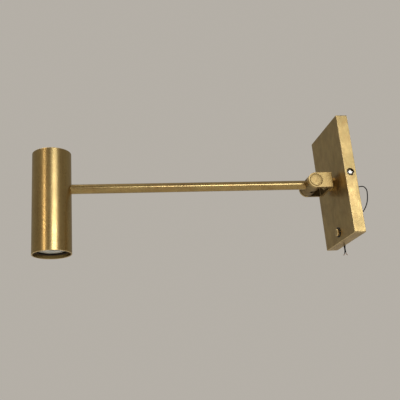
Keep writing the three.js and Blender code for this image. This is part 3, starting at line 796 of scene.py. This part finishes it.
def slotted_head(obj, axis_box, width, depth, top, axis):
    """Cuts a screwdriver slot across a head whose top is at a coordinate on axis."""
    middle = (axis_box[0] + axis_box[1]) / 2
    reach = max(axis_box[1] - axis_box[0])
    past = 1 * MM
    sign = 1 if top > getattr(middle, axis) else -1
    low, high = sorted((top - sign * depth, top + sign * past))
    if axis == "x":
        outline = rectangle(middle.y - reach, middle.y + reach, middle.z - width / 2, middle.z + width / 2)
        cutter = stack("cutter", along_x, [(outline, low), (outline, high)])
    else:
        outline = rectangle(middle.x - width / 2, middle.x + width / 2, middle.y - reach, middle.y + reach)
        cutter = stack("cutter", along_z, [(outline, low), (outline, high)])
    return combine(obj, cutter)


def make_cover_screw(node, side):
    low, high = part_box(node)
    top = high.x if side > 0 else low.x
    tip = low.x if side > 0 else high.x
    shank, head = 1.5 * MM, 2.5 * MM
    floor = side * (plate_high.x - COUNTERBORE_D + 0.15 * MM)
    profile = [
        (0, tip),
        (shank - 0.3 * MM, tip, 0.1 * MM),
        (shank, tip + side * 0.5 * MM),
        (shank, floor),
        (head, floor, 0.1 * MM),
        (head, top - side * 0.45 * MM, 0.35 * MM),
        (head * 0.55, top, 0.3 * MM),
        (0, top),
    ]
    screw = lathe("screw", "x", profile, (0, SCREW_Y, 0), 64)
    slotted_head(screw, (low, high), 0.7 * MM, 0.7 * MM, top, "x")
    stand_for(screw, node, NICKEL)


make_cover_screw("cover_screw_right", 1)
make_cover_screw("cover_screw_left", -1)

# ---------------------------------------------------------------- push button

button_low, button_high, button_mid = span("button_cap")
BUTTON_R = button_high.x - button_mid.x
STEM_R = 1.5 * MM
BUTTON_BORE_R = 4.15 * MM
SLEEVE_R = 4.75 * MM


def make_button():
    shoulder = plate_low.y + PLATE_FRONT_T - 0.6 * MM
    front = button_low.y
    dish = 0.12 * MM
    profile = [
        (0, button_high.y),
        (STEM_R, button_high.y, 0.2 * MM),
        (STEM_R, shoulder),
        (BUTTON_R, shoulder, 0.2 * MM),
        (BUTTON_R, front, 0.9 * MM),
        (BUTTON_R * 0.45, front + dish, 1.5 * MM),
        (0, front + dish),
    ]
    cap = lathe("button", "y", profile, (button_mid.x, 0, button_mid.z), 72, 6)
    stand_for(cap, "button_cap", BRASS_BUTTON)


def make_bezel():
    low, high, middle = span("switch_bezel")
    flange = middle.x + (high.x - low.x) / 2
    seat = plate_low.y - 0.15 * MM
    profile = [
        (BUTTON_BORE_R, low.y, 0.2 * MM),
        (flange, low.y, 0.35 * MM),
        (flange, seat, 0.05 * MM),
        (SLEEVE_R, seat),
        (SLEEVE_R, high.y, 0.2 * MM),
        (BUTTON_BORE_R, high.y, 0.1 * MM),
    ]
    bezel = lathe("bezel", "y", profile, (button_mid.x, 0, button_mid.z), 72)
    stand_for(bezel, "switch_bezel", BLACK)


def make_switch_body():
    low, high, middle = span("switch_body")
    outline = rectangle(low.x, high.x, low.z, high.z, 0.8 * MM)
    body = stack("switch", along_y, edge_levels(outline, low.y, high.y, 0.3 * MM))
    well = hole_cutter("y", STEM_R + 0.4 * MM, low.y, low.y + 2 * MM, (middle.x, 0, middle.z), 0.15 * MM)
    combine(body, well)
    stand_for(body, "switch_body", BLACK)


def hex_nut(node, bore, material, flare=0.3 * MM, edge=0.9 * MM):
    """A chamfered six-sided nut that fills its CAD node's box; its axis is Y and two corners point up."""
    low, high, middle = span(node)
    across = high.x - low.x
    corner = across / math.sqrt(3)
    outline = []
    for k in range(6):
        angle = math.radians(60 * k + 30)
        outline.append(Vector((middle.x + corner * math.cos(angle), middle.z + corner * math.sin(angle))))
    body = stack("nut", along_y, [(outline, low.y), (outline, high.y)])
    drop = edge * math.tan(math.radians(30))
    profile = [
        (0, low.y),
        (corner - edge, low.y),
        (corner, low.y + drop),
        (corner, high.y - drop),
        (corner - edge, high.y),
        (0, high.y),
    ]
    combine(body, lathe("chamfer", "y", profile, (middle.x, 0, middle.z), 96), "INTERSECT")
    combine(body, hole_cutter("y", bore, low.y, high.y, (middle.x, 0, middle.z), flare, flare))
    stand_for(body, node, material)


make_button()
make_bezel()
make_switch_body()
hex_nut("switch_nut", SLEEVE_R + 0.12 * MM, NICKEL, 0.2 * MM, 0.7 * MM)

# ---------------------------------------------------------------- neck

NIPPLE_BORE_R = 3.0 * MM


def make_ring(node, axis, inner, edge, material, segments=96):
    """A washer, collar or tube that fills its CAD node's box."""
    low, high, middle = span(node)
    other = "z" if axis != "z" else "x"
    outer = (getattr(high, other) - getattr(low, other)) / 2
    centre = middle.copy()
    setattr(centre, axis, 0)
    profile = bored(outer, inner, getattr(low, axis), getattr(high, axis), edge)
    return stand_for(lathe(node, axis, profile, centre, segments), node, material)


nipple_low, nipple_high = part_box("neck_nipple")
NIPPLE_R = (nipple_high.x - nipple_low.x) / 2
make_ring("neck_collar", "y", NIPPLE_R + 0.15 * MM, 0.35 * MM, BRASS_BLOCK)
make_ring("neck_nipple", "y", NIPPLE_BORE_R, 0.25 * MM, BRASS_RAW)
make_ring("neck_washer", "y", NIPPLE_R + 0.15 * MM, 0.12 * MM, ZINC)
hex_nut("neck_nut", NIPPLE_R + 0.15 * MM, BRASS_RAW)

# ---------------------------------------------------------------- clevis

clevis_low, clevis_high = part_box("clevis_bracket")
PIVOT = Vector((0, clevis_low.y + clevis_high.z, 0))
EAR_T = 3.3 * MM
WEB_T = 3.2 * MM
CLEVIS_EDGE = 0.55 * MM
PIN_RECESS_R = 6.65 * MM
PIN_RECESS_D = 1.4 * MM
PIN_SHOULDER_R = 3.0 * MM


def d_outline(steps=28):
    """The clevis seen from the side, as (y, z): a round nose and a square back, anticlockwise."""
    radius = clevis_high.z
    corner = 0.35 * MM
    back = clevis_high.y - corner
    points = []
    for z, start in ((corner - radius, -90), (radius - corner, 0)):
        for k in range(4):
            angle = math.radians(start + 30 * k)
            points.append(Vector((back + corner * math.cos(angle), z + corner * math.sin(angle))))
    for k in range(steps + 1):
        angle = math.radians(90 + 180 * k / steps)
        points.append(Vector((PIVOT.y + radius * math.cos(angle), radius * math.sin(angle))))
    return points


def make_clevis():
    body = stack("clevis", along_x, edge_levels(d_outline(), clevis_low.x, clevis_high.x, CLEVIS_EDGE, 5))
    inside = clevis_high.x - EAR_T
    web_front = clevis_high.y - WEB_T
    past = 4 * MM
    corner = 0.6 * MM
    gap = rounded(
        [
            (-inside, clevis_low.y - past),
            (inside, clevis_low.y - past),
            (inside, web_front, corner),
            (-inside, web_front, corner),
        ],
        4,
    )
    combine(body, stack("cutter", along_z, [(gap, clevis_low.z - past), (gap, clevis_high.z + past)]))
    for side in (-1, 1):
        outer = side * clevis_high.x
        floor = outer - side * PIN_RECESS_D
        flare = side * 0.3 * MM
        profile = [
            (0, side * (inside - past)),
            (PIN_SHOULDER_R + 0.3 * MM, side * (inside - past)),
            (PIN_SHOULDER_R + 0.3 * MM, floor),
            (PIN_RECESS_R, floor),
            (PIN_RECESS_R, outer - flare),
            (PIN_RECESS_R + abs(flare), outer),
            (PIN_RECESS_R + abs(flare) + past, outer + side * past),
            (0, outer + side * past),
        ]
        combine(body, lathe("cutter", "x", profile, PIVOT, 96))
    combine(body, hole_cutter("y", NIPPLE_R + 0.15 * MM, web_front, clevis_high.y, (0, 0, 0), 0.2 * MM))
    stand_for(body, "clevis_bracket", BRASS_BLOCK, in_clevis_shade)


def in_clevis_shade(point):
    """Painted shade between the ears, and darker painted shade on the walls of the two pin recesses."""
    inside_ears = abs(point.x) < clevis_high.x - EAR_T + 0.02 * MM
    between_ears = inside_ears and point.y < clevis_high.y - WEB_T + 0.1 * MM
    from_axis = math.hypot(point.y - PIVOT.y, point.z)
    in_recess = from_axis < PIN_RECESS_R + 0.02 * MM and abs(point.x) < clevis_high.x - 0.32 * MM
    return 0.8 if in_recess else 0.45 if between_ears else 0.0


make_clevis()

# ---------------------------------------------------------------- knuckle

barrel_low, barrel_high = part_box("knuckle_barrel")
ARM_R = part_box("arm_tube")[1].z
SOCKET_DEPTH = 4.2 * MM
LEAD_SLOT_HALF = 2.2 * MM
PIN_TIP_R = 1.85 * MM


def make_barrel():
    half = barrel_high.x
    radius = barrel_high.z
    edge = 0.45 * MM
    hub = PIN_TIP_R + 0.15 * MM
    hole_end = half - 5.2 * MM
    profile = [
        (0, -hole_end),
        (hub, -hole_end),
        (hub, -half, 0.2 * MM),
        (radius, -half, edge),
        (radius, half, edge),
        (hub, half, 0.2 * MM),
        (hub, hole_end),
        (0, hole_end),
    ]
    barrel = lathe("barrel", "x", profile, PIVOT, 128, 6)
    nose = barrel_low.y
    socket = hole_cutter("y", ARM_R + 0.15 * MM, nose, nose + SOCKET_DEPTH - 2 * MM, (0, 0, 0))
    combine(barrel, socket)
    combine(barrel, hole_cutter("y", LEAD_SLOT_HALF, nose, PIVOT.y, (0, 0, 0), segments=48))
    reach = 2 * radius
    slot = rectangle(-LEAD_SLOT_HALF, LEAD_SLOT_HALF, PIVOT.y - 1.8 * MM, PIVOT.y + reach)
    combine(barrel, stack("cutter", along_z, [(slot, -reach), (slot, reach)]))
    stand_for(barrel, "knuckle_barrel", BRASS_BARREL, in_barrel_shade)


def in_barrel_shade(point):
    """Painted shade: the whole barrel is darkened for the shade it lies in under the ears and plate, and more
    in its slot and bores.
    """
    from_axis = math.hypot(point.y - PIVOT.y, point.z)
    return 0.7 if from_axis < barrel_high.z - 0.6 * MM else 0.42


def make_pivot(node, side, slotted):
    low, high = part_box(node)
    top = high.x if side > 0 else low.x
    tip = low.x if side > 0 else high.x
    radius = (high.z - low.z) / 2
    face = side * clevis_high.x
    floor = face - side * (PIN_RECESS_D - 0.15 * MM)
    shoulder = side * (barrel_high.x + 0.15 * MM)
    dome = top - face
    profile = [
        (0, tip),
        (PIN_TIP_R, tip, 0.3 * MM),
        (PIN_TIP_R, shoulder),
        (PIN_SHOULDER_R, shoulder),
        (PIN_SHOULDER_R, floor),
        (radius, floor, 0.1 * MM),
        (radius, face + dome * 0.2, 0.35 * MM),
        (radius * 0.72, face + dome * 0.75, 3 * MM),
        (radius * 0.35, top - dome * 0.05, 3 * MM),
        (0, top),
    ]
    pin = lathe("pivot", "x", profile, PIVOT, 96, 6)
    if slotted:
        slotted_head(pin, (low, high), 1.2 * MM, 1.0 * MM, top, "x")
    stand_for(pin, node, BRASS_TURNED)


make_barrel()
make_pivot("pivot_pin_right", 1, False)
make_pivot("pivot_screw_left", -1, True)
for washer in ("friction_washer_right", "friction_washer_left"):
    make_ring(washer, "x", PIN_SHOULDER_R + 0.15 * MM, 0.12 * MM, FIBRE)

# ---------------------------------------------------------------- arm and head

make_ring("arm_tube", "y", 3.4 * MM, 0.3 * MM, BRASS_ARM, 96)

head_low, head_high, head_mid = span("head_tube")
HEAD_R = (head_high.x - head_low.x) / 2
HEAD_WALL = 1.2 * MM
HEAD_AXIS = Vector((head_mid.x, head_mid.y, 0))


def make_head():
    inner = HEAD_R - HEAD_WALL
    profile = [
        (inner, head_low.z, 0.25 * MM),
        (HEAD_R, head_low.z, 0.4 * MM),
        (HEAD_R, head_high.z, 0.35 * MM),
        (inner, head_high.z, 0.15 * MM),
    ]
    head = lathe("head", "z", profile, HEAD_AXIS, 160, 6)
    near = head_high.y - HEAD_WALL - 1 * MM
    combine(head, hole_cutter("y", ARM_R + 0.12 * MM, near, head_high.y, (0, 0, 0), segments=72))
    stand_for(head, "head_tube", BRASS_HEAD)


def make_cap():
    low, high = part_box("head_top_cap")
    radius = (high.x - low.x) / 2
    profile = [
        (0, low.z),
        (radius, low.z, 0.2 * MM),
        (radius, high.z, 0.4 * MM),
        (0, high.z),
    ]
    stand_for(lathe("cap", "z", profile, HEAD_AXIS, 160), "head_top_cap", BRASS_HEAD)


make_head()
make_cap()

# ---------------------------------------------------------------- lamp


def make_lens():
    low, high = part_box("lamp_lens")
    radius = (high.x - low.x) / 2
    rise = 1.3 * MM
    profile = [(0, low.z)]
    domes = 12
    for k in range(1, domes + 1):
        t = k / domes
        profile.append((radius * t, low.z + rise * t * t))
    profile[-1] = (*profile[-1], 0.25 * MM)
    profile += [(radius, high.z), (0, high.z)]
    stand_for(lathe("lens", "z", profile, HEAD_AXIS, 96), "lamp_lens", LENS)


def make_reflector():
    low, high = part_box("lamp_reflector")
    wide = (high.x - low.x) / 2
    narrow = 4 * MM
    wall = 0.5 * MM
    profile = []
    curve = 10
    for k in range(curve + 1):
        t = k / curve
        profile.append((wide + (narrow - wide) * t, low.z + (high.z - low.z) * t ** 0.8))
    for k in range(curve, -1, -1):
        t = k / curve
        profile.append((wide - wall + (narrow - wide) * t, low.z + (high.z - low.z) * t ** 0.8))
    stand_for(lathe("reflector", "z", profile, HEAD_AXIS, 48), "lamp_reflector", MIRROR)


make_lens()
make_reflector()
make_ring("lamp_bezel", "z", 13.3 * MM, 0.3 * MM, DARK_STEEL)
make_ring("retaining_ring", "z", 15.6 * MM, 0.35 * MM, DARK_STEEL)

# ---------------------------------------------------------------- CAD nodes that keep their shape

KEPT = {
    "wall_bracket": ZINC,
    "arm_saddle_washer": ZINC,
    "arm_lock_nut": BRASS_RAW,
    "holder_bracket": ZINC,
    "lamp_holder": CERAMIC,
    "holder_screw_right": NICKEL,
    "holder_screw_left": NICKEL,
    "lamp_housing": LAMP_METAL,
    "led_board": BOARD,
    "led_chip": PHOSPHOR,
    "lamp_base": CERAMIC,
    "lamp_pin_right": NICKEL,
    "lamp_pin_left": NICKEL,
    "arm_lead_neutral": INSULATION,
    "arm_lead_line": INSULATION,
    "neck_lead_neutral": INSULATION,
    "neck_lead_line": INSULATION,
}
for node, material in KEPT.items():
    frame["nodes"][node].data.materials.clear()
    frame["nodes"][node].data.materials.append(material)

# ---------------------------------------------------------------- stage and light

FLOOR_Z = -0.45
FLOOR_R = 2.6
PALE = (0.46, 0.43, 0.385)


def make_floor():
    """A plain pale round floor."""
    bm = bmesh.new()
    sides = 128
    corners = []
    for k in range(sides):
        angle = 2 * math.pi * k / sides
        corners.append(bm.verts.new((FLOOR_R * math.cos(angle), FLOOR_R * math.sin(angle), FLOOR_Z)))
    bm.faces.new(corners)
    floor = new_object("floor", bm)
    floor.data.materials.append(moulding("pale_floor", (0.80, 0.77, 0.71), 0.8, 300, 0.3 * MM))


def area_light(name, azimuth, elevation, distance, size, power, colour, target=(0, -0.16, 0)):
    """A soft rectangular light that looks at the object; azimuth is measured from +X towards +Y."""
    data = bpy.data.lights.new(name, "AREA")
    data.shape = "RECTANGLE"
    data.size, data.size_y = size
    data.energy = power
    data.color = colour
    lamp = bpy.data.objects.new(name, data)
    a, e = math.radians(azimuth), math.radians(elevation)
    ray = Vector((math.cos(e) * math.cos(a), math.cos(e) * math.sin(a), math.sin(e)))
    lamp.location = Vector(target) + ray * distance
    lamp.rotation_euler = ray.to_track_quat("Z", "Y").to_euler()
    lamp.visible_camera = False
    bpy.context.scene.collection.objects.link(lamp)


def make_world():
    """A soft room, a little lighter on the far side; what the camera sees behind the object is plain pale."""
    world = bpy.data.worlds.new("surroundings")
    world.use_nodes = True
    bpy.context.scene.world = world
    tree = world.node_tree
    background = tree.nodes["Background"]
    coordinates = tree.nodes.new("ShaderNodeTexCoord").outputs["Generated"]
    split = tree.nodes.new("ShaderNodeSeparateXYZ")
    tree.links.new(coordinates, split.inputs[0])
    side = tree.nodes.new("ShaderNodeMapRange")
    side.inputs["From Min"].default_value = -1
    tree.links.new(split.outputs["X"], side.inputs["Value"])
    ramp = tree.nodes.new("ShaderNodeValToRGB")
    stops = [
        (0.0, (0.25, 0.24, 0.215)),
        (0.40, (0.23, 0.215, 0.19)),
        (0.56, (0.20, 0.18, 0.15)),
        (1.0, (0.19, 0.165, 0.135)),
    ]
    while len(ramp.color_ramp.elements) < len(stops):
        ramp.color_ramp.elements.new(0.5)
    for element, (place, colour) in zip(ramp.color_ramp.elements, stops):
        element.position = place
        element.color = (*colour, 1)
    tree.links.new(side.outputs["Result"], ramp.inputs["Fac"])
    path = tree.nodes.new("ShaderNodeLightPath")
    choose = tree.nodes.new("ShaderNodeMix")
    choose.data_type = "RGBA"
    tree.links.new(path.outputs["Is Camera Ray"], choose.inputs[0])
    tree.links.new(ramp.outputs["Color"], choose.inputs[6])
    choose.inputs[7].default_value = (*PALE, 1)
    tree.links.new(choose.outputs[2], background.inputs["Color"])


make_floor()
make_world()
area_light("window", 17, 14, 4.0, (1.75, 0.85), 35, (0.97, 1.0, 1.03))
area_light("warm_lamp", -39, 14, 3.0, (0.16, 1.2), 7.5, (1.0, 0.84, 0.66), (0, -0.305, -0.01))
area_light("ceiling", 60, 75, 3.0, (4.0, 4.0), 10, (1.0, 0.97, 0.92))
area_light("front_soft", -95, 62, 3.0, (2.2, 2.2), 40, (1.0, 0.98, 0.95))

bpy.context.scene.view_settings.view_transform = "Standard"
